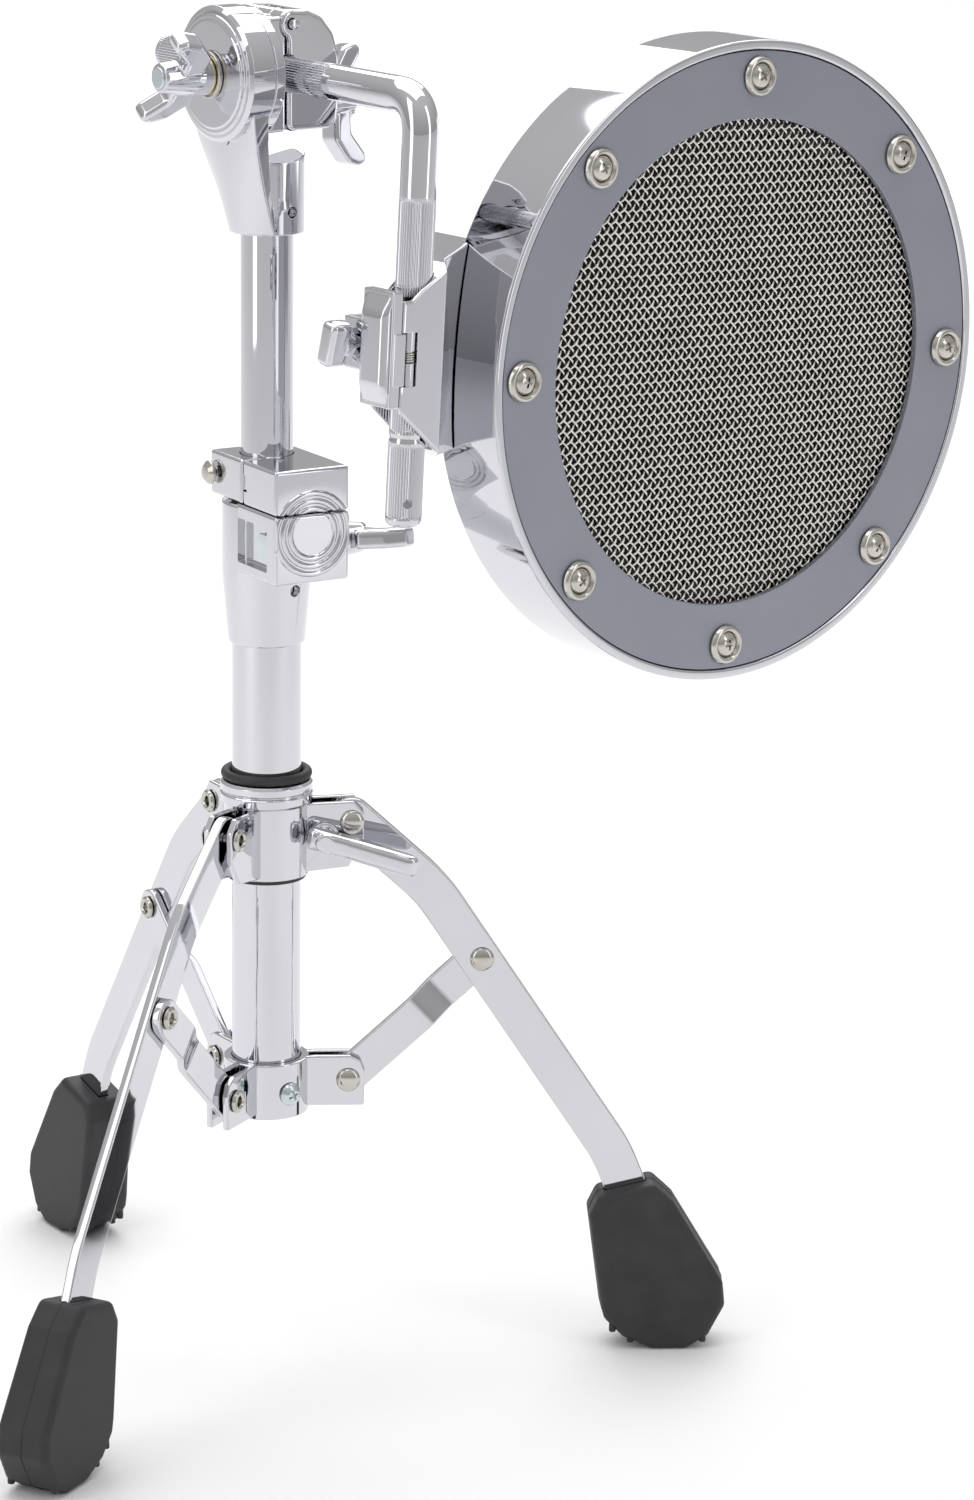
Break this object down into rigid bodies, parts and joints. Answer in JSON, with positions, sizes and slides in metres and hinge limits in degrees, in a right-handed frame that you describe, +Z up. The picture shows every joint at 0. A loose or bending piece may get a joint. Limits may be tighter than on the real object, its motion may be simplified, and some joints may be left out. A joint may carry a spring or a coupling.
{
  "type": "low-frequency microphone on a short tripod stand",
  "caption": "Large round low-frequency microphone with a mesh grille in a grey ring, clamped to an L-shaped arm and a tilter on a short chrome tripod with folding legs and rubber feet",
  "frame": {"origin": "middle of the whole object's footprint, at floor level", "axes": "+Z up; the column's axis is parallel to it, 84 mm to the -X side of the origin; leg 1 points along +X; the microphone faces toward -Y and +X, 53 degrees from +X"},
  "size_m": [0.3569, 0.307, 0.5021],
  "materials": {
    "chrome": "polished chrome plate",
    "zinc": "satin nickel or zinc plate",
    "grey_metal": "smooth satin grey",
    "steel_wire": "bright woven steel wire",
    "aluminium": "satin, inferred",
    "ferrite": "dull dark grey, inferred",
    "rubber": "matt black moulded",
    "black_plastic": "matt black",
    "paper": "black paper cone with a soft edge, inferred"
  },
  "bodies": {
    "column": {"lower_tube": "chrome", "lower_hub": "chrome", "lower_hub_screw": "zinc", "tube_joint": "chrome", "joint_bushing": "black_plastic", "joint_bolt": "zinc", "lower_rivet_1": "zinc", "lower_rivet_2": "zinc", "lower_rivet_3": "zinc"},
    "joint_wing_nut": {"joint_wing_nut": "chrome"},
    "leg_hub": {"upper_hub": "chrome", "hub_bushing": "black_plastic", "hub_o_ring": "rubber", "hub_rivet_1": "zinc", "hub_rivet_2": "zinc", "hub_rivet_3": "zinc"},
    "hub_wing_bolt": {"hub_wing_bolt": "chrome"},
    "leg_1": {"leg_1": "chrome", "foot_1": "rubber", "middle_rivet_1": "zinc"},
    "leg_2": {"leg_2": "chrome", "foot_2": "rubber", "middle_rivet_2": "zinc"},
    "leg_3": {"leg_3": "chrome", "foot_3": "rubber", "middle_rivet_3": "zinc"},
    "brace_1": {"brace_1": "chrome"},
    "brace_2": {"brace_2": "chrome"},
    "brace_3": {"brace_3": "chrome"},
    "memory_lock": {"memory_lock_front": "chrome", "memory_lock_screw": "zinc"},
    "memory_lock_jaw": {"memory_lock_jaw": "chrome"},
    "upper_tube": {"upper_tube": "chrome", "tilter_base": "chrome", "tilter_bolt": "zinc"},
    "tilter_wing_nut": {"tilter_wing_nut": "chrome"},
    "tilter_head": {"tilter_head": "chrome", "arm_clamp_bolt": "zinc"},
    "arm_clamp_jaw": {"arm_clamp_jaw": "chrome"},
    "arm_clamp_wing_nut": {"arm_clamp_wing_nut": "chrome"},
    "l_arm": {"l_arm": "chrome"},
    "microphone": {"mount_base": "chrome", "mic_shell": "chrome", "rear_cover": "aluminium", "front_plate": "grey_metal", "grille_mesh": "steel_wire", "driver_basket": "black_plastic", "driver_cone": "paper", "driver_magnet": "ferrite", "output_connector": "black_plastic", "face_screw_1": "zinc", "face_screw_2": "zinc", "face_screw_3": "zinc", "face_screw_4": "zinc", "face_screw_5": "zinc", "face_screw_6": "zinc", "face_screw_7": "zinc", "face_screw_8": "zinc"},
    "mount_jaw": {"mount_jaw": "chrome"},
    "mount_wing_bolt": {"mount_wing_bolt": "chrome"}
  },
  "joints": [
    {"name": "leg_hub_slide", "type": "slide", "parent": "column", "child": "leg_hub", "axis": [0, 0, 1], "range_m": [0, 0.02714]},
    {"name": "leg_1_fold", "type": "hinge", "parent": "leg_hub", "child": "leg_1", "pos_m": [-0.0528, 0, 0.205], "axis": [0, 1, 0], "range_deg": [0, 18.52]},
    {"name": "brace_1_fold", "type": "hinge", "parent": "column", "child": "brace_1", "pos_m": [-0.0537, 0, 0.1055], "axis": [0, -1, 0], "range_deg": [0, 20.88]},
    {"name": "leg_2_fold", "type": "hinge", "parent": "leg_hub", "child": "leg_2", "pos_m": [-0.0996, 0.02702, 0.205], "axis": [-0.866, -0.5, 0], "range_deg": [0, 18.52]},
    {"name": "brace_2_fold", "type": "hinge", "parent": "column", "child": "brace_2", "pos_m": [-0.09915, 0.02624, 0.1055], "axis": [0.866, 0.5, 0], "range_deg": [0, 20.88]},
    {"name": "leg_3_fold", "type": "hinge", "parent": "leg_hub", "child": "leg_3", "pos_m": [-0.0996, -0.02702, 0.205], "axis": [0.866, -0.5, 0], "range_deg": [0, 18.52]},
    {"name": "brace_3_fold", "type": "hinge", "parent": "column", "child": "brace_3", "pos_m": [-0.09915, -0.02624, 0.1055], "axis": [-0.866, 0.5, 0], "range_deg": [0, 20.88]},
    {"name": "hub_wing_bolt_turn", "type": "hinge", "parent": "leg_hub", "child": "hub_wing_bolt", "pos_m": [-0.0627, 0, 0.2], "axis": [0, -1, 0], "range_deg": [-70, 70]},
    {"name": "joint_wing_nut_turn", "type": "hinge", "parent": "column", "child": "joint_wing_nut", "pos_m": [-0.05993, -0.01268, 0.312], "axis": [0.8829, 0.4695, 0], "continuous": true},
    {"name": "memory_lock_slide", "type": "slide", "parent": "column", "child": "memory_lock", "axis": [0, 0, 1], "range_m": [0, 0.1]},
    {"name": "memory_lock_jaw_open", "type": "hinge", "parent": "memory_lock", "child": "memory_lock_jaw", "pos_m": [-0.08784, -0.0162, 0.3333], "axis": [0, 0, 1], "range_deg": [0, 1.5]},
    {"name": "upper_tube_turn", "type": "hinge", "parent": "memory_lock", "child": "upper_tube", "pos_m": [-0.084, 0, 0.3], "axis": [0, 0, 1], "continuous": true},
    {"name": "tilter_wing_nut_turn", "type": "hinge", "parent": "upper_tube", "child": "tilter_wing_nut", "pos_m": [-0.1063, -0.01504, 0.4783], "axis": [-0.829, -0.5592, 0], "continuous": true},
    {"name": "tilter_tilt", "type": "hinge", "parent": "upper_tube", "child": "tilter_head", "pos_m": [-0.084, 0, 0.4783], "axis": [0.829, 0.5592, 0], "range_deg": [-50, 6]},
    {"name": "arm_clamp_jaw_open", "type": "hinge", "parent": "tilter_head", "child": "arm_clamp_jaw", "pos_m": [-0.08234, 0.00112, 0.4955], "axis": [0.5592, -0.829, 0], "range_deg": [0, 1.5]},
    {"name": "arm_clamp_wing_nut_turn", "type": "hinge", "parent": "tilter_head", "child": "arm_clamp_wing_nut", "pos_m": [-0.07306, 0.00738, 0.4638], "axis": [0.829, 0.5592, 0], "continuous": true},
    {"name": "arm_slide", "type": "slide", "parent": "tilter_head", "child": "l_arm", "axis": [0.5592, -0.829, 0], "range_m": [-0.01, 0.035]},
    {"name": "microphone_swivel", "type": "hinge", "parent": "l_arm", "child": "microphone", "pos_m": [-0.03544, -0.07882, 0.39419], "axis": [0.0376, 0.0254, 0.999], "range_deg": [-80, 20]},
    {"name": "mount_jaw_open", "type": "hinge", "parent": "microphone", "child": "mount_jaw", "pos_m": [-0.03924, -0.0917, 0.39466], "axis": [0.0376, 0.0254, 0.999], "range_deg": [0, 1.5]},
    {"name": "mount_wing_bolt_turn", "type": "hinge", "parent": "microphone", "child": "mount_wing_bolt", "pos_m": [-0.05691, -0.07722, 0.39495], "axis": [-0.7978, -0.6012, 0.0453], "continuous": true}
  ],
  "couplings": [
    {"joint": "leg_1_fold", "follows": "leg_hub_slide", "rad_per_m": 11.899},
    {"joint": "brace_1_fold", "follows": "leg_hub_slide", "rad_per_m": 13.417},
    {"joint": "leg_2_fold", "follows": "leg_hub_slide", "rad_per_m": 11.899},
    {"joint": "brace_2_fold", "follows": "leg_hub_slide", "rad_per_m": 13.417},
    {"joint": "leg_3_fold", "follows": "leg_hub_slide", "rad_per_m": 11.899},
    {"joint": "brace_3_fold", "follows": "leg_hub_slide", "rad_per_m": 13.417}
  ]
}
